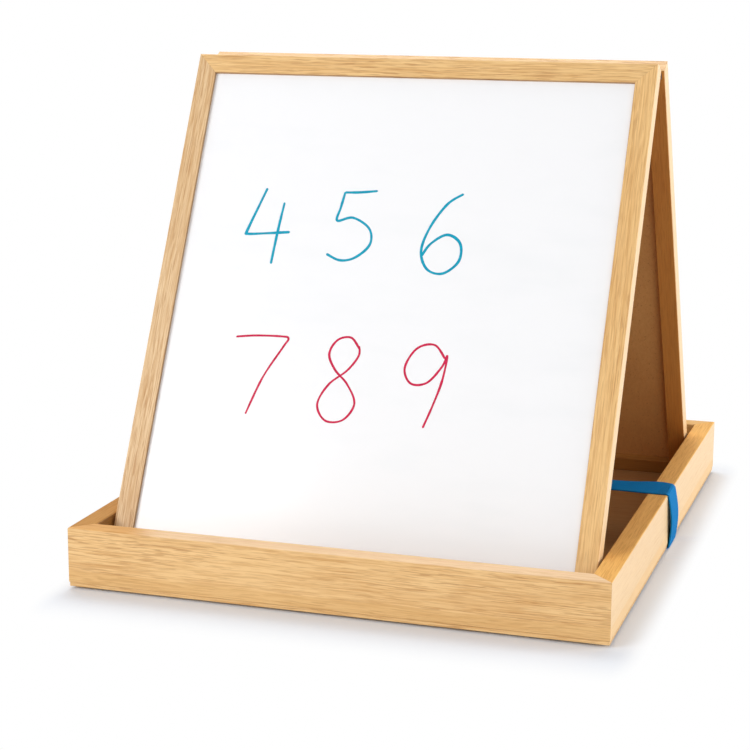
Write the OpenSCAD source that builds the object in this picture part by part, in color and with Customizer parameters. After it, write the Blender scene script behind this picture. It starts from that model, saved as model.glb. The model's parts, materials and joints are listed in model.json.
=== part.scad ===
// Double-sided tabletop whiteboard easel standing in a shallow storage tray.
// Two framed boards are hinged together at the top, and their feet stand on
// the tray's floor. X runs across the boards, Y from front to back, Z up.

/* [Tray] */
// Outside width of the tray
tray_w = 406; // [340:1:480]
// Outside depth of the tray, front to back
tray_d = 486; // [420:1:560]
// Height of the tray's walls above its bottom panel
wall_h = 42; // [34:1:70]
// Thickness of the tray's walls
wall_t = 16; // [14:0.5:20]
// Radius of the eased upper edges on the tray's walls
wall_edge_r = 1.2; // [0.6:0.1:2]
// Radius of the eased lower edges on the tray's walls
wall_low_edge_r = 0.4; // [0.2:0.1:1]
// Thickness of the bottom panel
panel_t = 3; // [2:0.5:6]
// How far the bottom panel's edge lies inside the walls' outer faces
panel_inset = 0.5; // [0.2:0.1:3]

/* [Feet and panel screws] */
// Diameter of a rubber foot
foot_d = 16; // [10:1:24]
// Height of a rubber foot
foot_h = 2; // [1.6:0.1:5]
// Distance from the tray's outer faces to a foot's centre
foot_inset = 32; // [28:1:60]
// Panel screws along the front wall and along the back wall
screws_across = 3; // [2:1:5]
// Panel screws along each side wall
screws_along = 4; // [2:1:6]
// Diameter of a panel screw's shank
panel_screw_d = 3; // [2:0.2:4]
// Length of a panel screw
panel_screw_l = 16; // [12:1:25]

/* [Boards] */
// Length of a board from its foot to its top end
board_l = 419; // [380:1:500]
// Thickness of a board's frame
board_t = 15; // [11:0.5:18]
// Width of the frame on the writing side
face_w = 16; // [13:0.5:24]
// How much narrower the frame is on its inner side
back_step = 1.5; // [0:0.1:2]
// Radius of the eased edges on the frame
board_edge_r = 1.2; // [0.5:0.1:2]
// How far the writing sheet lies below the frame's face
sheet_recess = 2.5; // [1.5:0.1:3.5]
// Thickness of the enamelled steel writing sheet
sheet_t = 0.6; // [0.4:0.1:1]
// Thickness of the backing panel behind the writing sheet
backing_t = 4.8; // [2.5:0.1:5]
// Depth of the groove that holds the sheet and its backing
groove_depth = 5; // [3:0.5:6]

/* [Hinges] */
// Length of a hinge along its pin
hinge_l = 50; // [40:1:80]
// Distance between the two hinges' centres
hinge_spacing = 220; // [160:1:260]
// Knuckles on a hinge, both leaves together
knuckles = 5; // [3:2:7]
// Thickness of a hinge leaf
leaf_t = 1.4; // [1:0.1:1.8]
// How far a leaf reaches down the frame's inner side
leaf_reach = 13; // [11:0.5:14]
// Outer diameter of a knuckle
knuckle_d = 6.4; // [5.6:0.1:7]
// Diameter of a hinge pin
pin_d = 3; // [2:0.1:3.4]
// Distance from the hinge pin's axis to a board's inner side
pin_to_face = 6; // [5:0.5:12]
// Height of the hinge pin above the boards' top ends, along the board
pin_rise = 4.5; // [3:0.5:8]
// Diameter of a hinge screw's shank
hinge_screw_d = 2.6; // [2:0.1:3]
// Length of a hinge screw, head included
hinge_screw_l = 9; // [6:0.5:9.5]
// Distance from a leaf's end to its nearest screw
hinge_screw_inset = 10; // [6:0.5:15]

/* [Mitre nails] */
// Length of each leg of a V-shaped mitre nail
nail_leg = 5.5; // [4:0.1:6]
// Thickness of a mitre nail's steel
nail_t = 0.6; // [0.4:0.1:1]
// Height of a mitre nail in a board's frame
board_nail_h = 7; // [5:0.5:8]
// Height of a mitre nail in the tray
tray_nail_h = 10; // [6:1:20]

/* [Elastic band] */
// Width of the elastic band
band_w = 30; // [15:1:45]
// Thickness of the elastic band
band_t = 1.2; // [0.8:0.1:1.5]
// Distance of the band's middle behind the tray's middle
band_y = 4.5; // [-30:0.5:30]
// How far the band bulges from the side walls at mid height
band_bulge = 2.2; // [0:0.1:5]

/* [Clearances] */
// Gap between a board and the tray's side walls
board_side_gap = 2; // [0.5:0.1:4]
// Gap between a board's foot and the front or back wall
foot_gap = 9.8; // [5:0.1:20]
// Height of the boards' feet above the tray's floor at rest
rest_gap = 0.2; // [0.1:0.05:0.5]
// Clearance between a knuckle's bore and its pin, all round
pin_gap = 0.05; // [0.02:0.01:0.1]
// Gap between neighbouring knuckles
knuckle_gap = 0.4; // [0.3:0.1:1]
// Gap between the groove's floor and the edge of what it holds
groove_end_gap = 0.3; // [0.1:0.1:1]
// Gap on each side of what the groove holds
groove_side_gap = 0.05; // [0.02:0.01:0.2]
// Clearance round a screw's shank and round a mitre nail
fastener_gap = 0.05; // [0.02:0.01:0.2]
// Gap between the band and the side walls at their edges
band_gap = 0.4; // [0.2:0.1:1]
// Gap between a hinge leaf and the edge of the frame
leaf_edge_gap = 0.5; // [0.2:0.1:1]
// How far a mitre nail lies below the frame's inner face
nail_sink = 0.3; // [0.1:0.1:1]

/* [Hidden] */

$fn = 48;
// Anything longer than a cut needs to pass right through a piece
over = 1;
// Steps in each eased edge
edge_steps = 4;

// Heights, from the surface that the tray stands on
panel_z = foot_h;
floor_z = panel_z + panel_t;
rim_z = floor_z + wall_h;

// What fits between the tray's walls, and the boards' angle from upright
board_w = tray_w - 2 * wall_t - 2 * board_side_gap;
back_w = face_w - back_step;
foot_reach = tray_d / 2 - wall_t - foot_gap;
pin_to_front = pin_to_face + board_t;
pin_to_foot = pin_rise + board_l;
lean = asin(foot_reach / norm([pin_to_front, pin_to_foot])) - atan2(pin_to_front, pin_to_foot);

// The hinge pin's height, worked out from the boards' eased feet on the floor
foot_round = board_edge_r * (cos(lean) + sin(lean) - 1);
pin_z = floor_z + rest_gap - foot_round - pin_to_face * sin(lean)
    + pin_to_foot * cos(lean);
echo(lean = lean, pin_z = pin_z);

// Depths from the writing side's face
groove_top = sheet_recess;
groove_h = sheet_t + backing_t + 2 * groove_side_gap;
groove_floor = face_w - groove_depth;
held_edge = groove_floor + groove_end_gap;

// Screws: the head's diameter for one of the shank, and the width of the cross in it
head_ratio = 2;
cross_w = 0.7;
// The hinge screws go in between the frame's outer edge and its groove
screw_from_edge = (leaf_edge_gap + groove_floor) / 2;
screw_pitch = hinge_l - 2 * hinge_screw_inset;

// Colours
oak = [0.90, 0.72, 0.50];
enamel_white = [0.97, 0.97, 0.98];
hardboard = [0.45, 0.29, 0.17];
zinc = [0.72, 0.72, 0.74];
band_blue = [0.05, 0.42, 0.72];
foot_grey = [0.25, 0.25, 0.26];

// Points of an arc with its centre at c, from angle a0 to angle a1
function arc(c, r, a0, a1, steps) =
    [for (i = [0:steps]) c + r * [cos(a0 + (a1 - a0) * i / steps), sin(a0 + (a1 - a0) * i / steps)]];

// A bar along X with its outer edge on v = 0 and mitred ends.
// The outline lies in v, which runs inwards, and d, which runs back.
module mitred_bar(length, width, depth, outline) {
    intersection() {
        translate([-length / 2, 0, 0])
            rotate([90, 0, 90])
                linear_extrude(height = length)
                    polygon(outline);
        translate([0, 0, -over])
            linear_extrude(height = depth + 2 * over)
                polygon([[-length / 2, 0], [length / 2, 0],
                    [length / 2 - width, width], [-length / 2 + width, width]]);
    }
}

// Outline of a tray wall: v runs inwards, d runs up
function wall_outline() = concat(
    arc([wall_low_edge_r, wall_low_edge_r], wall_low_edge_r, 270, 180, edge_steps),
    arc([wall_edge_r, wall_h - wall_edge_r], wall_edge_r, 180, 90, edge_steps),
    arc([wall_t - wall_edge_r, wall_h - wall_edge_r], wall_edge_r, 90, 0, edge_steps),
    [[wall_t, 0]]);

// One leg pair of a V-shaped mitre nail, its apex at the origin
module mitre_nail(height, grow) {
    translate([-nail_t / 2 - grow, -nail_t / 2 - grow, -grow])
        cube([nail_leg + 2 * grow, nail_t + 2 * grow, height + 2 * grow]);
    translate([-nail_t / 2 - grow, -nail_t / 2 - grow, -grow])
        cube([nail_t + 2 * grow, nail_leg + 2 * grow, height + 2 * grow]);
}

// A mitre nail in each corner of a rectangle, in the middle of a joint this wide
module corner_nails(width, depth, joint_w, height, grow) {
    apex = (joint_w - nail_leg) / 2;
    for (corner = [[-1, -1, 0], [1, -1, 90], [1, 1, 180], [-1, 1, 270]])
        translate([corner[0] * (width / 2 - apex), corner[1] * (depth / 2 - apex), 0])
            rotate([0, 0, corner[2]])
                mitre_nail(height, grow);
}

// A countersunk screw pointing up, its head's face on z = 0
module countersunk_screw(shank_d, length, grow) {
    head_d = shank_d * head_ratio;
    head_h = (head_d - shank_d) / 2;
    tip_h = shank_d;
    rotate_extrude()
        polygon([[0, 0], [head_d / 2 + grow, 0], [shank_d / 2 + grow, head_h],
            [shank_d / 2 + grow, length - tip_h + grow], [0.3, length + grow], [0, length + grow]]);
}

// The cross recess of a screw's head
module cross_recess(shank_d) {
    for (turn = [0, 90])
        rotate([0, 0, turn])
            translate([-shank_d * 0.55, -cross_w / 2, -over])
                cube([shank_d * 1.1, cross_w, over + shank_d * 0.3]);
}

// Places of the bottom panel's screws, under the middle of the walls
module panel_screw_places() {
    across = tray_w - 4 * wall_t;
    along = tray_d - 4 * wall_t;
    for (side = [-1, 1]) {
        for (i = [0:screws_across - 1])
            translate([-across / 2 + across * i / (screws_across - 1),
                    side * (tray_d / 2 - wall_t / 2), panel_z])
                children();
        for (i = [0:screws_along - 1])
            translate([side * (tray_w / 2 - wall_t / 2),
                    -along / 2 + along * (i + 0.5) / screws_along, panel_z])
                children();
    }
}

module panel_screw_holes() {
    panel_screw_places()
        countersunk_screw(panel_screw_d, panel_screw_l, fastener_gap);
}

// A tray wall of this length, its outer face towards -Y at this distance
module tray_wall(length, distance, turn) {
    color(oak)
        difference() {
            rotate([0, 0, turn])
                translate([0, -distance, floor_z])
                    mitred_bar(length, wall_t, wall_h, wall_outline());
            translate([0, 0, floor_z])
                corner_nails(tray_w, tray_d, wall_t, tray_nail_h, fastener_gap);
            panel_screw_holes();
        }
}

module tray_front_wall() { tray_wall(tray_w, tray_d / 2, 0); }
module tray_back_wall() { tray_wall(tray_w, tray_d / 2, 180); }
module tray_left_wall() { tray_wall(tray_d, tray_w / 2, -90); }
module tray_right_wall() { tray_wall(tray_d, tray_w / 2, 90); }

module tray_mitre_nails() {
    color(zinc)
        translate([0, 0, floor_z])
            corner_nails(tray_w, tray_d, wall_t, tray_nail_h, 0);
}

module tray_bottom_panel() {
    color(oak)
        difference() {
            translate([-tray_w / 2 + panel_inset, -tray_d / 2 + panel_inset, panel_z])
                cube([tray_w - 2 * panel_inset, tray_d - 2 * panel_inset, panel_t]);
            panel_screw_holes();
        }
}

module bottom_panel_screws() {
    color(zinc)
        panel_screw_places()
            difference() {
                countersunk_screw(panel_screw_d, panel_screw_l, 0);
                cross_recess(panel_screw_d);
            }
}

module tray_feet() {
    foot_ease = foot_h / 4;
    color(foot_grey)
        for (sx = [-1, 1])
            for (sy = [-1, 1])
                translate([sx * (tray_w / 2 - foot_inset), sy * (tray_d / 2 - foot_inset), 0])
                    rotate_extrude()
                        polygon([[0, 0], [foot_d / 2 - foot_ease, 0], [foot_d / 2, foot_ease],
                            [foot_d / 2, foot_h], [0, foot_h]]);
}

// The band's outline at a distance outside its inner face: down the right side, up the left
band_x = tray_w / 2 + band_gap;
top_bend_r = wall_edge_r + band_gap;
low_bend_r = panel_inset + band_gap;
straight_h = rim_z - top_bend_r - panel_z - low_bend_r;
bulge_steps = 10;
function band_side(out) = concat(
    arc([band_x - top_bend_r, rim_z - top_bend_r], top_bend_r + out, 90, 0, edge_steps),
    [for (i = [1:bulge_steps - 1])
        [band_x + out + band_bulge * sin(180 * i / bulge_steps),
            rim_z - top_bend_r - straight_h * i / bulge_steps]],
    arc([band_x - low_bend_r, panel_z + low_bend_r], low_bend_r + out, 0, -90, edge_steps));
function band_loop(out) = concat(band_side(out),
    [for (i = [len(band_side(out)) - 1:-1:0]) [-band_side(out)[i][0], band_side(out)[i][1]]]);

module elastic_band() {
    color(band_blue)
        translate([0, band_y + band_w / 2, 0])
            rotate([90, 0, 0])
                linear_extrude(height = band_w)
                    difference() {
                        polygon(band_loop(band_t));
                        polygon(band_loop(0));
                    }
}

// A board hangs straight down from the pin's axis here, with its writing side
// towards -Y. The frame's outer edges lie board_w apart, its top end pin_rise
// below the axis and its inner side pin_to_face in front of it.

// Outline of the frame's bars: v runs inwards, d runs from the writing side back
function frame_outline() = concat(
    arc([board_edge_r, board_edge_r], board_edge_r, 270, 180, edge_steps),
    arc([board_edge_r, board_t - board_edge_r], board_edge_r, 180, 90, edge_steps),
    [[back_w, board_t], [back_w, groove_top + groove_h], [groove_floor, groove_top + groove_h],
        [groove_floor, groove_top], [face_w, groove_top], [face_w, 0]]);

// Moves a board drawn flat, its writing side down on z = 0, to hang from the pin
module hang_board() {
    translate([0, -pin_to_front, -pin_rise - board_l / 2])
        rotate([90, 0, 180])
            children();
}

// Leans a hanging board into the easel, the front one or the back one
module stand_board(side) {
    translate([0, 0, pin_z])
        rotate([0, 0, side == "front" ? 0 : 180])
            rotate([-lean, 0, 0])
                children();
}

module frame_bar(side, length, distance, turn) {
    color(oak)
        stand_board(side)
            difference() {
                hang_board()
                    difference() {
                        rotate([0, 0, turn])
                            translate([0, -distance, 0])
                                mitred_bar(length, face_w, board_t, frame_outline());
                        translate([0, 0, board_t - nail_sink - board_nail_h])
                            corner_nails(board_w, board_l, groove_floor,
                                board_nail_h + nail_sink + over, fastener_gap);
                    }
                hinge_screw_places()
                    countersunk_screw(hinge_screw_d, hinge_screw_l, fastener_gap);
            }
}

module top_rail(side) { frame_bar(side, board_w, board_l / 2, 180); }
module bottom_rail(side) { frame_bar(side, board_w, board_l / 2, 0); }
module left_stile(side) { frame_bar(side, board_l, board_w / 2, side == "front" ? 90 : -90); }
module right_stile(side) { frame_bar(side, board_l, board_w / 2, side == "front" ? -90 : 90); }

module board_nails(side) {
    color(zinc)
        stand_board(side)
            hang_board()
                translate([0, 0, board_t - nail_sink - board_nail_h])
                    corner_nails(board_w, board_l, groove_floor, board_nail_h, 0);
}

// A sheet that the groove holds on all four sides, this far behind the face
module held_sheet(side, depth, thickness) {
    stand_board(side)
        hang_board()
            translate([-board_w / 2 + held_edge, -board_l / 2 + held_edge, depth])
                cube([board_w - 2 * held_edge, board_l - 2 * held_edge, thickness]);
}

module writing_sheet(side) {
    color(enamel_white)
        held_sheet(side, groove_top + groove_side_gap, sheet_t);
}

module backing_panel(side) {
    color(hardboard)
        held_sheet(side, groove_top + groove_side_gap + sheet_t, backing_t);
}

// Places of the hinge screws in a hanging board, driven in from its inner side
module hinge_screw_places() {
    for (hinge_x = [-1, 1] * hinge_spacing / 2)
        for (screw_x = [-1, 1] * screw_pitch / 2)
            translate([hinge_x + screw_x, -pin_to_face + leaf_t, -pin_rise - screw_from_edge])
                rotate([90, 0, 0])
                    children();
}

module hinge_screws(side) {
    color(zinc)
        stand_board(side)
            hinge_screw_places()
                difference() {
                    countersunk_screw(hinge_screw_d, hinge_screw_l, 0);
                    cross_recess(hinge_screw_d);
                }
}

// One cranked leaf of each hinge, with every second knuckle
module hinge_leaves(side) {
    knuckle_l = hinge_l / knuckles;
    first = side == "front" ? 0 : 1;
    color(zinc)
        stand_board(side)
            difference() {
                for (hinge_x = [-1, 1] * hinge_spacing / 2) {
                    translate([hinge_x - hinge_l / 2, -pin_to_face, -pin_rise - leaf_edge_gap - leaf_reach])
                        cube([hinge_l, leaf_t, leaf_reach]);
                    for (i = [first:2:knuckles - 1])
                        translate([hinge_x - hinge_l / 2 + knuckle_l * i + knuckle_gap / 2, 0, 0])
                            difference() {
                                union() {
                                    rotate([0, 90, 0])
                                        cylinder(h = knuckle_l - knuckle_gap, d = knuckle_d);
                                    translate([0, -pin_to_face, -pin_rise - leaf_edge_gap - over])
                                        cube([knuckle_l - knuckle_gap, leaf_t,
                                            pin_rise + leaf_edge_gap + over + leaf_t / 2]);
                                    translate([0, -pin_to_face, -leaf_t / 2])
                                        cube([knuckle_l - knuckle_gap, pin_to_face, leaf_t]);
                                }
                                translate([-over, 0, 0])
                                    rotate([0, 90, 0])
                                        cylinder(h = knuckle_l + 2 * over, d = pin_d + 2 * pin_gap);
                            }
                }
                hinge_screw_places()
                    countersunk_screw(hinge_screw_d, hinge_screw_l, fastener_gap);
            }
}

module hinge_pins() {
    color(zinc)
        for (hinge_x = [-1, 1] * hinge_spacing / 2)
            translate([hinge_x - hinge_l / 2, 0, pin_z])
                rotate([0, 90, 0])
                    cylinder(h = hinge_l, d = pin_d);
}

module front_top_rail() { top_rail("front"); }
module front_bottom_rail() { bottom_rail("front"); }
module front_left_stile() { left_stile("front"); }
module front_right_stile() { right_stile("front"); }
module front_mitre_nails() { board_nails("front"); }
module front_writing_sheet() { writing_sheet("front"); }
module front_backing_panel() { backing_panel("front"); }
module front_hinge_leaves() { hinge_leaves("front"); }
module front_hinge_screws() { hinge_screws("front"); }
module back_top_rail() { top_rail("back"); }
module back_bottom_rail() { bottom_rail("back"); }
module back_left_stile() { left_stile("back"); }
module back_right_stile() { right_stile("back"); }
module back_mitre_nails() { board_nails("back"); }
module back_writing_sheet() { writing_sheet("back"); }
module back_backing_panel() { backing_panel("back"); }
module back_hinge_leaves() { hinge_leaves("back"); }
module back_hinge_screws() { hinge_screws("back"); }

tray_front_wall();
tray_back_wall();
tray_left_wall();
tray_right_wall();
tray_mitre_nails();
tray_bottom_panel();
bottom_panel_screws();
tray_feet();
elastic_band();
hinge_pins();
front_top_rail();
front_bottom_rail();
front_left_stile();
front_right_stile();
front_mitre_nails();
front_writing_sheet();
front_backing_panel();
front_hinge_leaves();
front_hinge_screws();
back_top_rail();
back_bottom_rail();
back_left_stile();
back_right_stile();
back_mitre_nails();
back_writing_sheet();
back_backing_panel();
back_hinge_leaves();
back_hinge_screws();
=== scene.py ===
import json
import math
import random

import bpy
from mathutils import Matrix, Vector


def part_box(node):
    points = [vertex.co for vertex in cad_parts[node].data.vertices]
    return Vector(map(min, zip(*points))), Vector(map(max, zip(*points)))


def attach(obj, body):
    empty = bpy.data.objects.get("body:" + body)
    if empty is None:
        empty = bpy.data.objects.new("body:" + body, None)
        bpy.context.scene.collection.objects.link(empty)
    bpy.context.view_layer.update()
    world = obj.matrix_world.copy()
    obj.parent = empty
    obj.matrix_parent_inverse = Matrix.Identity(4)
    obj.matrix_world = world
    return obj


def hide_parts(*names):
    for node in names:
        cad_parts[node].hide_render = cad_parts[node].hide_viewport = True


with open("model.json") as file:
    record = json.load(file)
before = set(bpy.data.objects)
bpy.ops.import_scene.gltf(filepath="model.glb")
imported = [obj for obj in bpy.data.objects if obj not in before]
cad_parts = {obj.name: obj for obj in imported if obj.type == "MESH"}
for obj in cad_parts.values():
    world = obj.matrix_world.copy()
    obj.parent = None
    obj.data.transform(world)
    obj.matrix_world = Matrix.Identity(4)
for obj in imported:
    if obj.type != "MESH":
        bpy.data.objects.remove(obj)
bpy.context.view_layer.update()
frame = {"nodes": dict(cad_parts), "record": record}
nodes = frame["nodes"]
mounts = {m["name"]: m for m in frame["record"]["mounts"]}
random.seed(11)
print("frame loaded:", len(nodes), "nodes")


def shade(red, green, blue):
    # screen values 0-255 to the linear values that Blender's sockets take
    def linear(part):
        part /= 255
        return part / 12.92 if part <= 0.04045 else ((part + 0.055) / 1.055) ** 2.4
    return (linear(red), linear(green), linear(blue), 1.0)


def addNode(tree, kind, inputs=None, **settings):
    made = tree.nodes.new(kind)
    for key, value in settings.items():
        setattr(made, key, value)
    for key, value in (inputs or {}).items():
        if isinstance(value, bpy.types.NodeSocket):
            tree.links.new(value, made.inputs[key])
        else:
            made.inputs[key].default_value = value
    return made


def calc(tree, operation, *values, clamp=False):
    made = addNode(tree, "ShaderNodeMath", dict(enumerate(values)), operation=operation,
                   use_clamp=clamp)
    return made.outputs[0]


def calcVector(tree, operation, *values):
    made = addNode(tree, "ShaderNodeVectorMath", dict(enumerate(values)), operation=operation)
    return made.outputs[0]


def plus(tree, first, *others, clamp=False):
    for value in others:
        first = calc(tree, "ADD", first, value, clamp=clamp)
    return first


def minus(tree, first, second):
    return calc(tree, "SUBTRACT", first, second)


def times(tree, first, *others):
    for value in others:
        first = calc(tree, "MULTIPLY", first, value)
    return first


def weigh(tree, values, weights, base=0.0, clamp=False):
    # base plus each named value times its weight
    total = base
    for count, (key, weight) in enumerate(weights.items(), 1):
        total = calc(tree, "MULTIPLY_ADD", values[key], weight, total,
                     clamp=clamp and count == len(weights))
    return total


def splitXYZ(tree, vector):
    return addNode(tree, "ShaderNodeSeparateXYZ", {0: vector}).outputs


def joinXYZ(tree, x=0.0, y=0.0, z=0.0):
    return addNode(tree, "ShaderNodeCombineXYZ", {0: x, 1: y, 2: z}).outputs[0]


def stepUp(tree, value, low, high):
    made = addNode(tree, "ShaderNodeMapRange", {0: value, 1: low, 2: high, 3: 0.0, 4: 1.0},
                   interpolation_type="SMOOTHSTEP")
    return made.outputs[0]


def blendColour(tree, share, first, second):
    made = addNode(tree, "ShaderNodeMix", {0: share, 6: first, 7: second}, data_type="RGBA")
    return made.outputs[2]


def cloud(tree, place, cells, detail=2.0, roughness=0.5):
    # noise with its own cells per metre along each axis
    spread = calcVector(tree, "MULTIPLY", place, cells)
    made = addNode(tree, "ShaderNodeTexNoise", {"Vector": spread, "Scale": 1.0, "Detail": detail,
                                                "Roughness": roughness})
    return made.outputs["Fac"]


def newMaterial(name):
    made = bpy.data.materials.new(name)
    made.use_nodes = True
    tree = made.node_tree
    surface = tree.nodes["Principled BSDF"]
    place = addNode(tree, "ShaderNodeTexCoord").outputs["Object"]
    return made, tree, surface, place


def setSurface(tree, surface, **sockets):
    names = {"colour": "Base Color", "roughness": "Roughness", "metallic": "Metallic",
             "specular": "Specular IOR Level", "normal": "Normal"}
    for key, value in sockets.items():
        socket = surface.inputs[names[key]]
        if isinstance(value, bpy.types.NodeSocket):
            tree.links.new(value, socket)
        else:
            socket.default_value = value


def relief(tree, height, depth):
    made = addNode(tree, "ShaderNodeBump", {"Height": height, "Distance": depth, "Strength": 1.0})
    return made.outputs["Normal"]


def dress(names, material):
    for name in names:
        data = nodes[name].data
        data.materials.clear()
        data.materials.append(material)


# the camera, found from the straight edges in the photograph

cameraSet = {
    "place": (0.43203, -1.49171, 0.46452),
    "yaw": -17.6668,      # degrees from +Y, towards -X
    "pitch": 12.3026,     # degrees down
    "roll": 0.2557,
    "lens": 93.769,       # millimetres, for the sensor below
    "sensor": 36,
    "farthest": 50,
}


def makeCamera(cfg):
    yaw, pitch, roll = (math.radians(cfg[key]) for key in ("yaw", "pitch", "roll"))
    forward = Vector((math.sin(yaw) * math.cos(pitch), math.cos(yaw) * math.cos(pitch),
                      -math.sin(pitch)))
    level = Vector((math.cos(yaw), -math.sin(yaw), 0))
    raised = level.cross(forward)
    right = level * math.cos(roll) + raised * math.sin(roll)
    up = raised * math.cos(roll) - level * math.sin(roll)
    data = bpy.data.cameras.new("camera")
    data.sensor_width = cfg["sensor"]
    data.lens = cfg["lens"]
    data.clip_end = cfg["farthest"]
    camera = bpy.data.objects.new("camera", data)
    turn = Matrix((right, up, -forward)).transposed().to_4x4()
    camera.matrix_world = Matrix.Translation(cfg["place"]) @ turn
    bpy.context.scene.collection.objects.link(camera)
    bpy.context.scene.camera = camera


makeCamera(cameraSet)
print("camera set")


# oak foil on the tray's walls and the boards' frames

oakLook = {
    "light": shade(240, 198, 137),
    "dark": shade(206, 151, 84),
    "pore": shade(168, 110, 52),
    "sides": shade(243, 209, 161),        # a painted sheen, which makes the outer sides pale
    "plain": shade(226, 180, 117),        # tops and inner sides, where little grain shows
    "plainShare": 0.5,
    "lipShadowAndMitreLine": (0.62, 0.55, 0.48, 1),   # painted shadow on the lip round the sheet, and the real dark line of the mitres
    "mitreShare": 0.18,
    "specular": 0.45,
    "relief": 0.00005,
    "spread": 3,                          # metres of foil that the bars are cut from, each way
    "waver": 0.004,                       # metres that the grain wanders sideways
    "growthLines": 7.0,                   # through one broad cloud of grain
    "growthRise": (0.35, 1.0),
    "dashPatchy": 0.6,                    # share of the dashes that comes in patches
    # cells per metre along, across and through the bar, detail and roughness
    "noise": {
        "drift": ((9, 24, 24), 2.0, 0.5),
        "broad": ((4, 26, 26), 1.0, 0.5),
        "figure": ((2.2, 26, 26), 1.0, 0.35),
        "streaks": ((13, 560, 560), 2.0, 0.6),
        "lines": ((26, 980, 980), 1.0, 0.5),
        "fibres": ((40, 1300, 1300), 2.0, 0.6),
        "dashes": ((50, 1250, 1250), 1.0, 0.5),
        "pores": ((90, 1500, 1500), 1.0, 0.5),
        "flecks": ((60, 420, 420), 1.0, 0.5),
        "dashPatches": ((5, 60, 60), 1.0, 0.5),
        "fleckPatches": ((6, 40, 40), 0.0, 0.5),
    },
    # between which values a noise rises from none to full
    "rise": {"lines": (0.48, 0.62), "dashes": (0.53, 0.63), "pores": (0.58, 0.70),
             "flecks": (0.56, 0.72), "dashPatches": (0.38, 0.62), "fleckPatches": (0.45, 0.60)},
    # what each layer adds to the darkness, the pore colour, the roughness and the height
    "tone": {"broad": 0.6, "streaks": 0.9, "fibres": 0.6, "growth": 0.12, "lines": 0.38,
             "flecks": -0.14},
    "toneBase": -0.91,
    "poreShare": {"dashes": 0.50, "pores": 0.20},
    "rough": {"streaks": 0.12, "dashes": 0.12, "plain": 0.35},
    "roughBase": 0.36,
    "height": {"fibres": 0.35, "pores": -1.0, "dashes": -0.8},
    # metres over which each face of a bar starts
    "starts": {
        "crown": (0.0201, 0.0207),        # a tray wall's top, above its middle height
        "pastCorner": (-0.160, -0.128),   # along the front wall, where a painted highlight makes its top pale
        "back": (0.0120, 0.0123),         # a frame's inner side, behind the sheet's face
        "recess": (0.0142, 0.0144),       # and in the recess, from the frame's outer edge
        "recessDepth": (0.0045, 0.0050),
        "well": (0.0157, 0.0160),         # past a bar's width, from the frame's outer edge
        "lip": (-0.001, 0.0),
        "outer": (-0.0005, -0.0001),
        "mitre": (0.0001, 0.0005),        # half the width of the dark line at a mitre
    },
}
# painted light and shade on a bar's faces: tops made lighter or darker, shaded inner faces, how
# pale a painted sheen makes its outer side and how dark a painted shadow makes its lip, where they
# differ
oakFaces = {
    "tray_front_wall": {"crown": (1.12, 1.27, 1.85), "corner": (0.90, 0.78, 0.62),
                        "well": (0.70, 0.60, 0.50)},
    "tray_back_wall": {"crown": (1.0, 0.95, 0.85), "well": (0.75, 0.68, 0.52), "pale": 0.5},
    "tray_left_wall": {"crown": (0.64, 0.49, 0.25), "well": (0.42, 0.31, 0.17), "pale": 0.75},
    "tray_right_wall": {"crown": (1.08, 0.94, 0.58), "well": (0.55, 0.45, 0.33), "pale": 0.75},
    "tray_bottom_panel": {"crown": (0.60, 0.53, 0.46)},
    "rail": {"inner": (0.50, 0.35, 0.15), "lip": 1.0},
    "stile": {"inner": (0.68, 0.42, 0.15), "pale": 0.85, "lip": 1.0},
}
# tint of the whole bar, where it differs
oakTints = {
    "front_top_rail": (0.97, 0.97, 0.94),
    # painted sheen: the left stile paler and bluer
    "front_left_stile": (0.90, 0.97, 1.20),
    "front_right_stile": (1.0, 0.99, 0.94),
}


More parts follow.
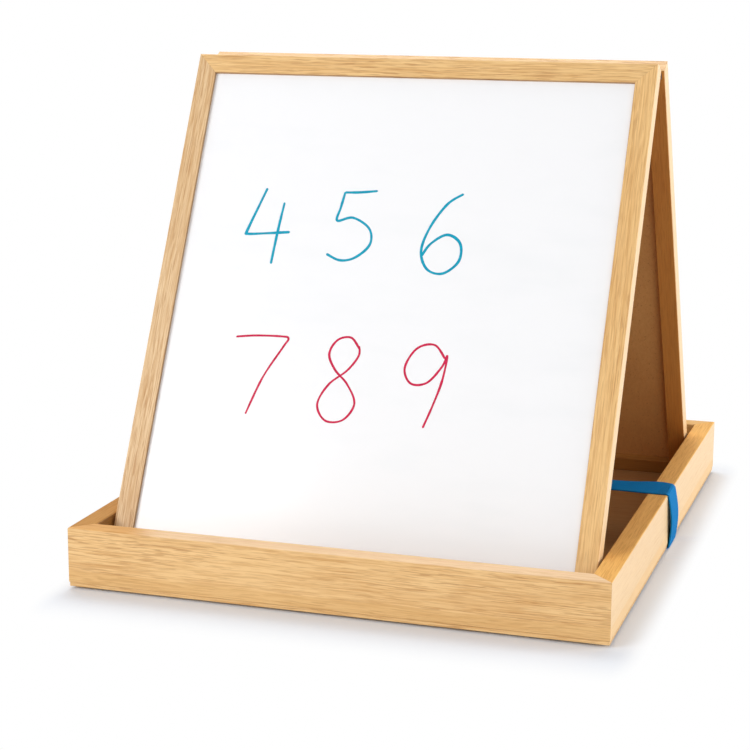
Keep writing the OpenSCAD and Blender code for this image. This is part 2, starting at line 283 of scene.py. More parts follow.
def makeOakGrain(cfg):
    # Place: metres along, across and through the bar, from the middle of its frame.
    # Half: half the frame's size along and across the bar.
    # Faces, painted light and shade: Crown lightens or darkens a wall's top and Corner its left
    # end, Well shades its inner face, Inner a frame's inner side; Pale is a pale sheen on the outer
    # side, Lip shadow on the lip round the sheet.
    group = bpy.data.node_groups.new("oakGrain", "ShaderNodeTree")
    for way, kind, keys in (
            ("INPUT", "Vector", ("Place", "Shift", "Half")),
            ("INPUT", "Color", ("Light", "Dark", "Crown", "Corner", "Inner", "Well")),
            ("INPUT", "Float", ("Pale", "Lip")),
            ("OUTPUT", "Color", ("Colour",)),
            ("OUTPUT", "Float", ("Roughness", "Height"))):
        for key in keys:
            group.interface.new_socket(key, in_out=way, socket_type="NodeSocket" + kind)
    given = addNode(group, "NodeGroupInput").outputs

    def noise(key, spot):
        made = cloud(group, spot, *cfg["noise"][key])
        return stepUp(group, made, *cfg["rise"][key]) if key in cfg["rise"] else made

    start = calcVector(group, "ADD", given["Place"], given["Shift"])
    drift = minus(group, noise("drift", start), 0.5)
    aside = calcVector(group, "MULTIPLY", joinXYZ(group, 0.0, drift, drift),
                       (0, cfg["waver"], cfg["waver"]))
    place = calcVector(group, "ADD", start, aside)
    layers = {key: noise(key, place) for key in ("broad", "figure", "streaks", "lines", "fibres",
                                                 "dashes", "pores", "flecks")}
    growth = calc(group, "PINGPONG", times(group, layers["figure"], cfg["growthLines"] * 2), 1.0)
    layers["growth"] = stepUp(group, growth, *cfg["growthRise"])
    patches = calc(group, "MULTIPLY_ADD", noise("dashPatches", start), cfg["dashPatchy"],
                   1 - cfg["dashPatchy"])
    layers["dashes"] = times(group, layers["dashes"], patches)
    layers["flecks"] = times(group, layers["flecks"], noise("fleckPatches", start))

    tone = weigh(group, layers, cfg["tone"], cfg["toneBase"], clamp=True)
    colour = blendColour(group, tone, given["Light"], given["Dark"])
    for key, share in cfg["poreShare"].items():
        colour = blendColour(group, times(group, layers[key], share), colour, cfg["pore"])

    # which face of the bar this is, by its place in the frame that the bar belongs to
    parts, sizes = splitXYZ(group, given["Place"]), splitXYZ(group, given["Half"])
    fromEnd, fromSide = (minus(group, calc(group, "ABSOLUTE", parts[i]), sizes[i]) for i in (0, 1))
    offMitre = calc(group, "ABSOLUTE", minus(group, fromEnd, fromSide))
    inwards, depth = times(group, fromSide, -1), times(group, parts[2], -1)

    def past(key, value):
        return stepUp(group, value, *cfg["starts"][key])

    # crown: a wall's top, lightened or darkened by painted light; well and inner: inner faces,
    # darkened by painted shade
    crown, well = past("crown", parts[2]), past("well", inwards)
    recess = times(group, past("recess", inwards), past("recessDepth", depth))
    inner = calc(group, "MAXIMUM", past("back", depth), recess)
    # lip: the lip round the writing sheet, darkened by painted shadow
    lip = times(group, well, past("lip", parts[2]), given["Lip"])
    # outer: the outer side, made pale by a painted sheen
    outer = times(group, past("outer", fromSide), given["Pale"])
    mitre = times(group, minus(group, 1.0, past("mitre", offMitre)), cfg["mitreShare"])
    layers["plain"] = calc(group, "MAXIMUM", crown, inner)

    smooth = times(group, layers["plain"], cfg["plainShare"])
    colour = blendColour(group, smooth, colour, cfg["plain"])
    colour = blendColour(group, outer, colour, cfg["sides"])
    # painted light and shade on the top, the inner faces and the lip; the mitres get their own dark
    # joint line
    paintedTopLight = blendColour(group, past("pastCorner", parts[0]), given["Corner"], given["Crown"])
    white = (1, 1, 1, 1)
    for share, faceShade in ((crown, paintedTopLight), (inner, given["Inner"]), (well, given["Well"]),
                             (lip, cfg["lipShadowAndMitreLine"]), (mitre, cfg["lipShadowAndMitreLine"])):
        colour = calcVector(group, "MULTIPLY", colour,
                            blendColour(group, share, white, faceShade))
    addNode(group, "NodeGroupOutput", {
        "Colour": colour, "Roughness": weigh(group, layers, cfg["rough"], cfg["roughBase"]),
        "Height": weigh(group, layers, cfg["height"])})
    return group


def oakBar(name, group, cfg, faces, along, across, middle, half):
    # one finish for each bar, because each is cut from another stretch of foil
    made, tree, surface, place = newMaterial("oak_" + name)
    turn = Matrix((along, across, along.cross(across)))
    mapping = addNode(tree, "ShaderNodeMapping", {"Vector": place, "Rotation": turn.to_euler(),
                                                  "Location": -(turn @ middle)})
    shift = [random.uniform(-cfg["spread"], cfg["spread"]) for axis in range(3)]
    values = {"Place": mapping.outputs[0], "Shift": shift, "Half": (half[0], half[1], 0),
              "Pale": faces.get("pale", 0.0), "Lip": faces.get("lip", 0.0)}
    tint = oakTints.get(name, (1, 1, 1))
    for key in ("light", "dark"):
        values[key.capitalize()] = [cfg[key][i] * tint[i] for i in range(3)] + [1]
    for key in ("crown", "inner", "well"):
        values[key.capitalize()] = faces.get(key, (1, 1, 1)) + (1,)
    values["Corner"] = faces["corner"] + (1,) if "corner" in faces else values["Crown"]
    grain = addNode(tree, "ShaderNodeGroup", values, node_tree=group).outputs
    setSurface(tree, surface, colour=grain["Colour"], roughness=grain["Roughness"],
               specular=cfg["specular"], normal=relief(tree, grain["Height"], cfg["relief"]))
    dress([name], made)


oakGrain = makeOakGrain(oakLook)
wallBoxes = [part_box("tray_%s_wall" % end) for end in ("front", "back", "left", "right")]
trayLow = Vector([min(box[0][axis] for box in wallBoxes) for axis in range(3)])
trayHigh = Vector([max(box[1][axis] for box in wallBoxes) for axis in range(3)])
trayCentre, trayHalf = (trayLow + trayHigh) / 2, (trayHigh - trayLow) / 2
for ends, along, across, half in (
        (("front", "back"), Vector((1, 0, 0)), Vector((0, 1, 0)), (trayHalf.x, trayHalf.y)),
        (("left", "right"), Vector((0, 1, 0)), Vector((-1, 0, 0)), (trayHalf.y, trayHalf.x))):
    for end in ends:
        name = "tray_%s_wall" % end
        oakBar(name, oakGrain, oakLook, oakFaces[name], along, across, trayCentre, half)
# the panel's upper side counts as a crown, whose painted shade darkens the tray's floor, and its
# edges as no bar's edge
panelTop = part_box("tray_bottom_panel")[1].z
panelMiddle = Vector((0, 0, panelTop - oakLook["starts"]["crown"][1]))
noEdges = (9, 9)
oakBar("tray_bottom_panel", oakGrain, oakLook, oakFaces["tray_bottom_panel"],
       Vector((1, 0, 0)), Vector((0, 1, 0)), panelMiddle, noEdges)

boardWidth, boardLength = 0.370, 0.419   # of the part's boards, in metres
boardPlaces = {}
for side in ("front", "back"):
    mount = mounts[side + "_writing_face"]
    facing = Vector(mount["axis"]).normalized()
    rightwards = Vector((1 if side == "front" else -1, 0, 0))
    upwards = facing.cross(rightwards)
    middle = Vector(mount["pos_m"])
    boardPlaces[side] = (middle, rightwards, upwards, facing)
    for kind, ends, along, across, half in (
            ("rail", ("top", "bottom"), rightwards, upwards, (boardWidth / 2, boardLength / 2)),
            ("stile", ("left", "right"), upwards, -rightwards, (boardLength / 2, boardWidth / 2))):
        for end in ends:
            oakBar("%s_%s_%s" % (side, end, kind), oakGrain, oakLook, oakFaces[kind], along,
                   across, middle, half)
print("oak bars dressed")


# writing sheets, backing, metal and rubber

# colours: the second takes over from the first as the broad noise rises through turn.
# Noises: cells per metre, detail, roughness. Rough: base, and what roughBy adds.
finishes = {
    "white_enamel": {
        "colours": (shade(248, 247, 247), shade(243, 243, 243)), "turn": (0.45, 0.75), "share": 0.6,
        "broad": ((9, 14, 30), 3.0, 0.55), "fine": ((900, 900, 900), 1.0),
        "rough": (0.12, 0.14), "roughBy": "broad", "relief": 0.00001, "metallic": 0.0},
    "zinc_plate": {
        "colours": (shade(206, 208, 212), shade(160, 162, 168)), "turn": (0.35, 0.7), "share": 1.0,
        "broad": ((260, 260, 260), 3.0, 0.6), "fine": ((90, 3000, 3000), 2.0),
        "rough": (0.22, 0.25), "roughBy": "fine", "relief": 0.00002, "metallic": 1.0},
    "foot_rubber": {
        "colours": (shade(46, 47, 50), shade(70, 71, 74)), "turn": (0.4, 0.7), "share": 1.0,
        "broad": ((120, 120, 120), 3.0), "fine": ((1500, 1500, 1500), 2.0),
        "rough": (0.7, 0.2), "roughBy": "fine", "relief": 0.00005, "metallic": 0.0},
}
hardboardLook = {
    "light": shade(211, 154, 90),
    "dark": shade(196, 138, 78),
    "speck": shade(158, 106, 60),
    "noise": {"patches": ((14, 14, 14), 2.0, 0.5), "fibres": ((500, 260, 260), 3.0, 0.7),
              "specks": ((700, 500, 500), 1.0, 0.5)},
    "tone": {"patches": 0.6, "fibres": 0.5},
    "turn": (0.35, 0.8),
    "speckRise": (0.64, 0.74),
    "speckShare": 0.5,
    "rough": (0.55, 0.2),
    "specular": 0.25,
    "relief": 0.00008,
}


def makeFinish(name, cfg):
    made, tree, surface, place = newMaterial(name)
    noises = {key: cloud(tree, place, *cfg[key]) for key in ("broad", "fine")}
    share = times(tree, stepUp(tree, noises["broad"], *cfg["turn"]), cfg["share"])
    base, gain = cfg["rough"]
    rough = calc(tree, "MULTIPLY_ADD", noises[cfg["roughBy"]], gain, base)
    setSurface(tree, surface, colour=blendColour(tree, share, *cfg["colours"]), roughness=rough,
               metallic=cfg["metallic"], normal=relief(tree, noises["fine"], cfg["relief"]))
    return made


def makeHardboard(cfg):
    made, tree, surface, place = newMaterial("hardboard")
    noises = {key: cloud(tree, place, *values) for key, values in cfg["noise"].items()}
    tone = stepUp(tree, weigh(tree, noises, cfg["tone"]), *cfg["turn"])
    colour = blendColour(tree, tone, cfg["light"], cfg["dark"])
    specks = times(tree, stepUp(tree, noises["specks"], *cfg["speckRise"]), cfg["speckShare"])
    base, gain = cfg["rough"]
    setSurface(tree, surface, colour=blendColour(tree, specks, colour, cfg["speck"]),
               roughness=calc(tree, "MULTIPLY_ADD", noises["fibres"], gain, base),
               specular=cfg["specular"], normal=relief(tree, noises["fibres"], cfg["relief"]))
    return made


enamel, zinc, rubber = (makeFinish(name, cfg) for name, cfg in finishes.items())
dress(["front_writing_sheet", "back_writing_sheet"], enamel)
dress(["front_backing_panel", "back_backing_panel"], makeHardboard(hardboardLook))
dress([name for name in nodes if "nails" in name or "screws" in name or "hinge_" in name], zinc)
dress(["tray_feet"], rubber)
print("sheets, backing, metal and feet dressed")


def newTree(name, sizes):
    # a tree with Geometry in and out and one named input for each size
    tree = bpy.data.node_groups.new(name, "GeometryNodeTree")
    face = tree.interface
    face.new_socket("Geometry", in_out="INPUT", socket_type="NodeSocketGeometry")
    for key, value in sizes.items():
        socket = face.new_socket(key, in_out="INPUT", socket_type="NodeSocketFloat")
        socket.default_value = value
    face.new_socket("Geometry", in_out="OUTPUT", socket_type="NodeSocketGeometry")
    return tree, addNode(tree, "NodeGroupInput").outputs


def endTree(tree, geometry, material):
    whole = addNode(tree, "GeometryNodeRealizeInstances", {0: geometry}).outputs[0]
    dressed = addNode(tree, "GeometryNodeSetMaterial", {"Geometry": whole, "Material": material})
    addNode(tree, "NodeGroupOutput", {"Geometry": dressed.outputs[0]})


def newObject(name, mesh):
    made = bpy.data.objects.new(name, mesh)
    bpy.context.scene.collection.objects.link(made)
    return made


def bakeTree(points, edges, tree, sizes, name):
    # gives the tree a wire of points and edges, and keeps its result as a plain mesh
    wire = bpy.data.meshes.new(name + "_wire")
    wire.from_pydata(points, edges, [])
    holder = newObject(name + "_wire", wire)
    modifier = holder.modifiers.new(tree.name, "NODES")
    modifier.node_group = tree
    for item in tree.interface.items_tree:
        if item.item_type == "SOCKET" and item.in_out == "INPUT" and item.name in sizes:
            modifier[item.identifier] = sizes[item.name]
    bpy.context.view_layer.update()
    seen = holder.evaluated_get(bpy.context.evaluated_depsgraph_get())
    mesh = bpy.data.meshes.new_from_object(seen)
    mesh.name = name
    bpy.data.objects.remove(holder)
    return newObject(name, mesh)


# the elastic band, a ribbed strip swept round the tray

bandShape = {
    "width": 0.0299,
    "thickness": 0.0012,
    "ribPitch": 0.00158,
    "ribHeight": 0.00013,
    "ribPoints": 14.0,                  # of the outline for each rib
    "corner": 0.0004,
    "tilt": 0.0095,                     # how much further back the loop lies at its foot
    "tiltMiddle": 0.42,                 # share of the height that stays where it is
    "neck": 0.10,                       # share of its width that it loses over the open tray
    "neckRange": (0.016, 0.050),        # metres inside the rim over which it does so
    "pucker": 0.0014,                   # how far its back edge rises just inside the rim
    "puckerUp": (0.0, 0.006),           # metres inside the rim over which it rises and falls
    "puckerDown": (0.010, 0.040),
    "puckerAcross": (-0.012, 0.015),    # metres from the middle towards the back edge
    "puckerHeight": (0.8, 0.9),         # only the strip on top, by share of the height
    "bulge": 0.0022,                    # how far the sides stand out at mid height
    "topBend": 0.0016,
    "lowBend": 0.0009,
    "steps": 12,                        # points in each bend
    "sideSteps": 36,                    # lengths down each side
    "spans": 60,                        # lengths between the rims
    "colour": shade(0, 132, 196),
    "deep": shade(0, 107, 172),
    "weftPitch": 0.0011,
    "soft": ((160, 160, 160), 3.0, 0.6),
    "fuzz": ((2600, 2600, 2600), 1.0),
    "tone": {"weft": 0.09, "rib": -0.16, "soft": 0.5, "fuzz": 0.3},
    "height": {"weft": 0.5, "fuzz": 0.8},
    "rough": (0.6, 0.15),
    "specular": 0.15,
    "relief": 0.00008,
}
bandLow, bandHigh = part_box("elastic_band")
bandMiddle = (bandLow.y + bandHigh.y) / 2


def makeElastic(cfg):
    # ribs run along the band, weft threads run across it
    made, tree, surface, place = newMaterial("blue_elastic")
    track = splitXYZ(tree, addNode(tree, "ShaderNodeUVMap", uv_map="bandMap").outputs[0])
    layers = {key: cloud(tree, place, *cfg[key]) for key in ("soft", "fuzz")}
    for key, wave, along, pitch in (("weft", "SINE", track[0], cfg["weftPitch"]),
                                    ("rib", "COSINE", track[1], cfg["ribPitch"])):
        layers[key] = calc(tree, wave, times(tree, along, 2 * math.pi / pitch))
    tone = weigh(tree, layers, cfg["tone"], clamp=True)
    base, gain = cfg["rough"]
    height = weigh(tree, layers, cfg["height"])
    setSurface(tree, surface, colour=blendColour(tree, tone, cfg["colour"], cfg["deep"]),
               roughness=calc(tree, "MULTIPLY_ADD", layers["fuzz"], gain, base),
               specular=cfg["specular"], normal=relief(tree, height, cfg["relief"]))
    return made


def bandPath(cfg):
    # the middle of the strip's thickness, seen from the front: down the right side,
    # below, up the left side and back over the rims
    lift = cfg["thickness"] / 2
    sideX = bandHigh.x - cfg["bulge"] - cfg["thickness"] + lift
    topZ, lowZ = bandHigh.z - lift, bandLow.z + lift
    topR, lowR = cfg["topBend"] + lift, cfg["lowBend"] + lift
    steps, sideSteps, spans = cfg["steps"], cfg["sideSteps"], cfg["spans"]
    side = []
    for i in range(steps + 1):
        angle = math.pi / 2 * (1 - i / steps)
        side.append((sideX - topR + topR * math.cos(angle), topZ - topR + topR * math.sin(angle)))
    straight = topZ - topR - lowZ - lowR
    for i in range(1, sideSteps):
        share = i / sideSteps
        side.append((sideX + cfg["bulge"] * math.sin(math.pi * share),
                     topZ - topR - straight * share))
    for i in range(steps + 1):
        angle = -math.pi / 2 * i / steps
        side.append((sideX - lowR + lowR * math.cos(angle), lowZ + lowR + lowR * math.sin(angle)))
    over = [((sideX - topR) * (2 * i / spans - 1), topZ) for i in range(1, spans)]
    loop = side + [(-x, z) for x, z in reversed(side)] + over
    return [(x, bandMiddle, z) for x, z in loop]


def ribbedOutline(tree, given):
    # the strip's section, with ribs above and below, and the place across it
    outline = addNode(tree, "GeometryNodeCurvePrimitiveQuadrilateral",
                      {"Width": given["Width"], "Height": given["Thickness"]}).outputs[0]
    outline = addNode(tree, "GeometryNodeFilletCurve", {"Curve": outline, "Radius": given["Corner"],
                                                        "Count": 3}, mode="POLY").outputs[0]
    count = times(tree, calc(tree, "DIVIDE", given["Width"], given["Rib pitch"]),
                  given["Rib points"])
    outline = addNode(tree, "GeometryNodeResampleCurve", {"Curve": outline, "Count": count})
    parts = splitXYZ(tree, addNode(tree, "GeometryNodeInputPosition").outputs[0])
    turns = calc(tree, "DIVIDE", times(tree, parts[0], 2 * math.pi), given["Rib pitch"])
    rise = times(tree, calc(tree, "COSINE", turns), given["Rib height"],
                 calc(tree, "SIGN", parts[1]))
    ribbed = addNode(tree, "GeometryNodeSetPosition", {"Geometry": outline.outputs[0],
                                                       "Offset": joinXYZ(tree, y=rise)})
    return ribbed.outputs[0], parts[0]


def capture(tree, geometry, name, value):
    made = addNode(tree, "GeometryNodeCaptureAttribute", {"Geometry": geometry})
    made.capture_items.new("FLOAT", name)
    tree.links.new(value, made.inputs[1])
    return made.outputs


def sweepBand(tree, given):
    # the section swept round the loop, with metres along and across it kept as bandMap
    loop = addNode(tree, "GeometryNodeMeshToCurve", {0: given["Geometry"]}).outputs[0]
    run = capture(tree, loop, "run", addNode(tree, "GeometryNodeSplineParameter").outputs["Length"])
    outline, width = ribbedOutline(tree, given)
    across = capture(tree, outline, "across", width)
    swept = addNode(tree, "GeometryNodeCurveToMesh", {"Curve": run[0], "Profile Curve": across[0]})
    stored = addNode(tree, "GeometryNodeStoreNamedAttribute",
                     {"Geometry": swept.outputs[0], "Name": "bandMap",
                      "Value": joinXYZ(tree, run[1], across[1])},
                     data_type="FLOAT2", domain="CORNER")
    return stored.outputs[0]


def makeBand(cfg):
    sizes = {"Width": cfg["width"], "Thickness": cfg["thickness"], "Corner": cfg["corner"],
             "Rib pitch": cfg["ribPitch"], "Rib height": cfg["ribHeight"],
             "Rib points": cfg["ribPoints"], "Tilt": cfg["tilt"], "Neck": cfg["neck"],
             "Pucker": cfg["pucker"], "Middle": bandMiddle, "Reach": bandHigh.x - cfg["bulge"],
             "Top": bandHigh.z, "Foot": bandLow.z}
    tree, given = newTree("ribbedElastic", sizes)
    swept = sweepBand(tree, given)
    x, y, z = splitXYZ(tree, addNode(tree, "GeometryNodeInputPosition").outputs[0])
    height = calc(tree, "DIVIDE", minus(tree, z, given["Foot"]),
                  minus(tree, given["Top"], given["Foot"]))
    slant = times(tree, minus(tree, cfg["tiltMiddle"], height), given["Tilt"])
    fromRim = minus(tree, given["Reach"], calc(tree, "ABSOLUTE", x))
    aside = minus(tree, y, given["Middle"])
    narrow = times(tree, stepUp(tree, fromRim, *cfg["neckRange"]), given["Neck"], aside, -1.0)
    raised = minus(tree, stepUp(tree, fromRim, *cfg["puckerUp"]),
                   stepUp(tree, fromRim, *cfg["puckerDown"]))
    raised = times(tree, raised, stepUp(tree, aside, *cfg["puckerAcross"]),
                   stepUp(tree, height, *cfg["puckerHeight"]), given["Pucker"])
    offset = joinXYZ(tree, y=plus(tree, slant, narrow), z=raised)
    shaped = addNode(tree, "GeometryNodeSetPosition", {"Geometry": swept, "Offset": offset})
    endTree(tree, shaped.outputs[0], makeElastic(cfg))
    path = bandPath(cfg)
    edges = [(i, (i + 1) % len(path)) for i in range(len(path))]
    return bakeTree(path, edges, tree, sizes, "elastic_loop")


band = makeBand(bandShape)
print("band", [round(v, 4) for v in bandLow], [round(v, 4) for v in bandHigh],
      len(band.data.polygons), "faces")
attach(band, "tray")
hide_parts("elastic_band")


# numbers written with markers on the front sheet

inkLook = {
    "blue": {"width": 0.0020, "colours": (shade(0, 168, 194), shade(0, 140, 174))},
    "red": {"width": 0.0017, "colours": (shade(216, 34, 82), shade(188, 16, 62))},
    "depth": 0.00005,
    "lift": 0.00004,
    "wobble": 0.9,         # how much the stroke's width varies
    "wobbles": 70.0,       # per metre
    "step": 0.0007,
    "tipLimit": 1.02,      # just over 1, so that the round ends never close to a point
    "nibSides": 12,
    "linePoints": 14,      # between two points of a stroke
    "drag": ((420, 420, 420), 3.0, 0.7),
    "fine": ((1800, 1800, 1800), 1.0),
    "tone": {"drag": 0.7, "fine": 0.3},
    "turn": (0.35, 0.68),
    "rough": (0.35, 0.3),
    "specular": 0.2,
    "relief": 0.00001,
}
# strokes of each number in a box one wide and one high, drawn as a hand would
numberStrokes = {
    "4": [[(0.36, 1.0), (0.26, 0.78), (0.10, 0.42), (0.12, 0.38), (0.5, 0.40), (0.94, 0.43)],
          [(0.74, 0.82), (0.70, 0.45), (0.67, 0.0)]],
    "5": [[(0.24, 0.96), (0.20, 0.74), (0.17, 0.55), (0.46, 0.60), (0.80, 0.46), (0.86, 0.24),
           (0.62, 0.05), (0.34, 0.0), (0.06, 0.08)],
          [(0.23, 0.95), (0.52, 0.96), (0.86, 0.99)]],
    "6": [[(0.74, 1.0), (0.46, 0.86), (0.20, 0.56), (0.10, 0.26), (0.26, 0.04), (0.56, 0.0),
           (0.82, 0.16), (0.80, 0.38), (0.54, 0.48), (0.26, 0.36), (0.12, 0.20)]],
    "7": [[(0.08, 0.94), (0.40, 0.97), (0.80, 0.98), (0.93, 0.96), (0.86, 0.84), (0.62, 0.46),
           (0.44, 0.0)]],
    "8": [[(0.80, 0.86), (0.60, 0.99), (0.34, 0.95), (0.22, 0.78), (0.38, 0.60), (0.66, 0.44),
           (0.86, 0.22), (0.68, 0.02), (0.34, 0.0), (0.14, 0.18), (0.30, 0.42), (0.62, 0.60),
           (0.80, 0.78), (0.78, 0.90)]],
    "9": [[(0.84, 0.84), (0.62, 1.0), (0.32, 0.94), (0.16, 0.70), (0.30, 0.52), (0.58, 0.54),
           (0.80, 0.74), (0.87, 0.88), (0.84, 0.58), (0.74, 0.28), (0.62, 0.0)]],
}
# number, its lower left corner and its size, in metres on the sheet
numberRows = {
    "blue": [("4", (-0.124, 0.036), (0.042, 0.062)), ("5", (-0.055, 0.042), (0.042, 0.058)),
             ("6", (0.018, 0.036), (0.042, 0.064))],
    "red": [("7", (-0.118, -0.084), (0.050, 0.064)), ("8", (-0.046, -0.084), (0.040, 0.066)),
            ("9", (0.016, -0.084), (0.044, 0.064))],
}


def makeInk(colour, cfg):
    made, tree, surface, place = newMaterial("marker_" + colour)
    noises = {key: cloud(tree, place, *cfg[key]) for key in ("drag", "fine")}
    share = stepUp(tree, weigh(tree, noises, cfg["tone"]), *cfg["turn"])
    base, gain = cfg["rough"]
    setSurface(tree, surface, colour=blendColour(tree, share, *cfg[colour]["colours"]),
               roughness=calc(tree, "MULTIPLY_ADD", noises["drag"], gain, base),
               specular=cfg["specular"], normal=relief(tree, noises["fine"], cfg["relief"]))
    return made


def smoothLine(points, steps):
    # a smooth line through the points
    ends = [points[0]] + points + [points[-1]]
    line = []
    for i in range(1, len(ends) - 2):
        p0, p1, p2, p3 = (Vector(ends[i + k]) for k in (-1, 0, 1, 2))
        for k in range(steps):
            t = k / steps
            line.append(0.5 * (2 * p1 + (p2 - p0) * t + (2 * p0 - 5 * p1 + 4 * p2 - p3) * t ** 2
                               + (3 * p1 - p0 - 3 * p2 + p3) * t ** 3))
    line.append(Vector(points[-1]))
    return line


def inkTree(sizes, cfg, material):
    tree, given = newTree("markerStroke", sizes)
    curve = addNode(tree, "GeometryNodeMeshToCurve", {0: given["Geometry"]}).outputs[0]
    curve = addNode(tree, "GeometryNodeResampleCurve", {"Curve": curve, "Length": given["Step"]},
                    mode="LENGTH").outputs[0]
    # round ends, by the distance to the nearer one
    along = addNode(tree, "GeometryNodeSplineParameter").outputs["Length"]
    total = addNode(tree, "GeometryNodeSplineLength").outputs["Length"]
    nearest = calc(tree, "MINIMUM", along, minus(tree, total, along))
    nibRadius = times(tree, given["Width"], 0.5)
    tip = minus(tree, 1.0, calc(tree, "DIVIDE", nearest, nibRadius, clamp=True))
    rounded = calc(tree, "SQRT", minus(tree, cfg["tipLimit"], times(tree, tip, tip)))
    spot = addNode(tree, "GeometryNodeInputPosition").outputs[0]
    shake = addNode(tree, "ShaderNodeTexNoise", {"Vector": spot, "Scale": cfg["wobbles"],
                                                 "Detail": 2.0}).outputs["Fac"]
    shake = times(tree, minus(tree, shake, 0.5), given["Wobble"])
    radius = times(tree, rounded, plus(tree, 1.0, shake))
    curve = addNode(tree, "GeometryNodeSetCurveRadius", {"Curve": curve, "Radius": radius})
    curve = addNode(tree, "GeometryNodeSetCurveNormal", {"Curve": curve.outputs[0]}).outputs[0]
    nib = addNode(tree, "GeometryNodeCurvePrimitiveCircle",
                  {"Resolution": cfg["nibSides"], "Radius": nibRadius}).outputs[0]
    swept = addNode(tree, "GeometryNodeCurveToMesh", {"Curve": curve, "Profile Curve": nib,
                                                      "Scale": radius, "Fill Caps": True})
    # pressed flat on the sheet
    x, y, z = splitXYZ(tree, spot)
    flat = times(tree, z, calc(tree, "DIVIDE", given["Depth"], given["Width"]))
    pressed = addNode(tree, "GeometryNodeSetPosition", {"Geometry": swept.outputs[0],
                                                        "Position": joinXYZ(tree, x, y, flat)})
    endTree(tree, pressed.outputs[0], material)
    return tree


def writeRow(colour, cfg):
    points, edges = [], []
    for number, corner, size in numberRows[colour]:
        for stroke in numberStrokes[number]:
            line = smoothLine(stroke, cfg["linePoints"])
            first = len(points)
            points += [(corner[0] + p.x * size[0], corner[1] + p.y * size[1], 0) for p in line]
            edges += [(i, i + 1) for i in range(first, len(points) - 1)]
    sizes = {"Width": cfg[colour]["width"], "Depth": cfg["depth"], "Wobble": cfg["wobble"],
             "Step": cfg["step"]}
    tree = inkTree(sizes, cfg, makeInk(colour, cfg))
    row = bakeTree(points, edges, tree, sizes, "marker_numbers_" + colour)
    middle, rightwards, upwards, facing = boardPlaces["front"]
    turn = Matrix((rightwards, upwards, facing)).transposed().to_4x4()
    row.data.transform(Matrix.Translation(middle + facing * cfg["lift"]) @ turn)
    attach(row, "front_board")
    print("numbers", colour, len(row.data.polygons), "faces")


writeRow("blue", inkLook)
writeRow("red", inkLook)


# floor, world and lights

studio = {
    "floorRadius": 9,
    "floorCorners": 64,
    "floorColour": shade(232, 237, 245),
    "shadowShift": (0.006, -0.012),  # the soft shadow reaches further to the front and the right
    "sideways": 2.7,                 # how much faster it fades at the sides
    "fade": (0.0, 0.056),            # metres from the tray over which the floor turns white
    "shadowGrey": shade(217, 209, 204),
    "cover": (0.016, 0.040),         # metres along the tray's side that the grey covers
    "coverEdge": 0.002,
    "worldLevel": 0.46,
    "lights": [
        # name, place, aim, width, height, watts
        ("key", (-1.50, -1.80, 1.10), (0, 0, 0.15), 1.3, 1.1, 28),
        ("fill", (1.30, -2.10, 0.90), (0, 0, 0.15), 1.0, 1.0, 7),
        ("behind", (-0.5, 1.0, 2.0), (0, 0, 0.1), 1.8, 1.6, 24),
        ("side", (1.90, 0.30, 0.60), (0, 0, 0.05), 1.2, 0.8, 18),
    ],
}


def directRays(tree):
    # 1 for what the camera sees, also as a reflection or through glass
    rays = addNode(tree, "ShaderNodeLightPath").outputs
    return plus(tree, rays["Is Camera Ray"], rays["Is Glossy Ray"], rays["Is Transmission Ray"],
                clamp=True)


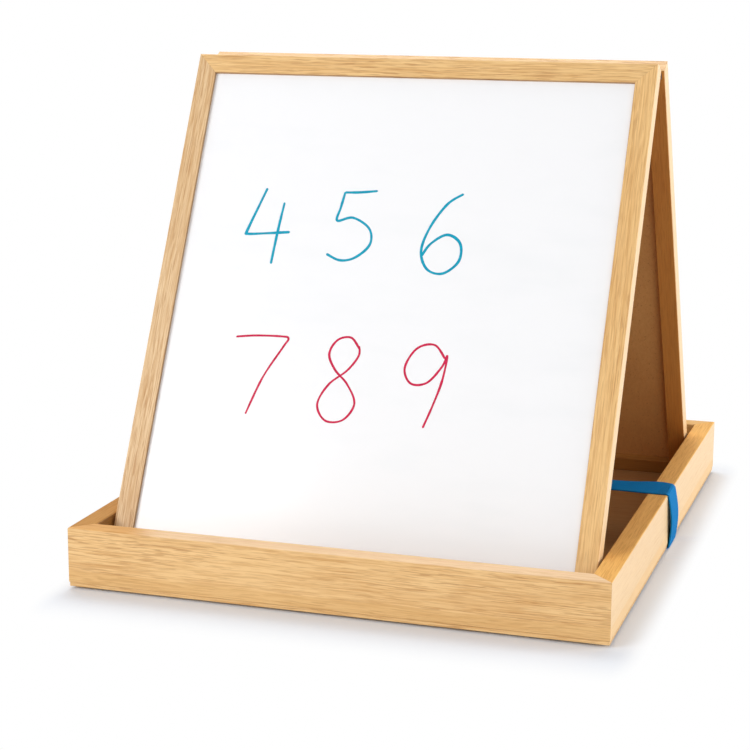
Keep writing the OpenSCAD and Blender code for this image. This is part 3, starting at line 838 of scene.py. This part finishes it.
def makeFloor(cfg):
    count, radius = cfg["floorCorners"], cfg["floorRadius"]
    angles = [2 * math.pi * i / count for i in range(count)]
    rim = [(radius * math.cos(angle), radius * math.sin(angle), 0) for angle in angles]
    mesh = bpy.data.meshes.new("floor")
    mesh.from_pydata(rim, [], [tuple(range(count))])
    floor = newObject("floor", mesh)
    made = bpy.data.materials.new("pale_floor")
    made.use_nodes = True
    tree = made.node_tree
    tree.nodes.clear()
    x, y = splitXYZ(tree, addNode(tree, "ShaderNodeTexCoord").outputs["Object"])[:2]

    # distance from the tray's outline, moved to where the shadow lies
    outside = []
    for part, shift, half in zip((x, y), cfg["shadowShift"], trayHalf):
        off = calc(tree, "ABSOLUTE", minus(tree, part, shift))
        outside.append(calc(tree, "MAXIMUM", minus(tree, off, half), 0.0))
    aside, ahead = times(tree, outside[0], cfg["sideways"]), outside[1]
    away = calc(tree, "SQRT", plus(tree, times(tree, aside, aside), times(tree, ahead, ahead)))
    seen = directRays(tree)
    share = times(tree, stepUp(tree, away, *cfg["fade"]), seen)

    # at the band's feet its blue light would stain the floor, so the shadow's grey covers it
    cover = minus(tree, 1.0, stepUp(tree, calc(tree, "ABSOLUTE", y), *cfg["cover"]))
    beside = stepUp(tree, calc(tree, "ABSOLUTE", x), trayHalf.x, trayHalf.x + cfg["coverEdge"])
    cover = times(tree, cover, beside, seen)
    matte = addNode(tree, "ShaderNodeBsdfDiffuse", {"Color": cfg["floorColour"]}).outputs[0]
    grey, white = (addNode(tree, "ShaderNodeEmission", {"Color": colour}).outputs[0]
                   for colour in (cfg["shadowGrey"], (1, 1, 1, 1)))
    covered = addNode(tree, "ShaderNodeMixShader", {0: cover, 1: matte, 2: grey}).outputs[0]
    mixed = addNode(tree, "ShaderNodeMixShader", {0: share, 1: covered, 2: white}).outputs[0]
    addNode(tree, "ShaderNodeOutputMaterial", {"Surface": mixed})
    mesh.materials.append(made)


def makeWorld(cfg):
    # white to the eye, and dimmer as a light
    world = bpy.data.worlds.new("studio")
    bpy.context.scene.world = world
    world.use_nodes = True
    tree = world.node_tree
    level = calc(tree, "MULTIPLY_ADD", directRays(tree), 1 - cfg["worldLevel"], cfg["worldLevel"])
    background = tree.nodes["Background"]
    background.inputs["Color"].default_value = (1, 1, 1, 1)
    tree.links.new(level, background.inputs["Strength"])


def makeLights(cfg):
    for name, place, aim, width, height, watts in cfg["lights"]:
        data = bpy.data.lights.new(name, "AREA")
        data.shape = "RECTANGLE"
        data.size, data.size_y, data.energy = width, height, watts
        lamp = newObject(name, data)
        lamp.location = place
        lamp.rotation_euler = (Vector(aim) - Vector(place)).to_track_quat("-Z", "Y").to_euler()


makeFloor(studio)
makeWorld(studio)
makeLights(studio)
bpy.context.scene.view_settings.view_transform = "Standard"
print("floor, world and lights set")
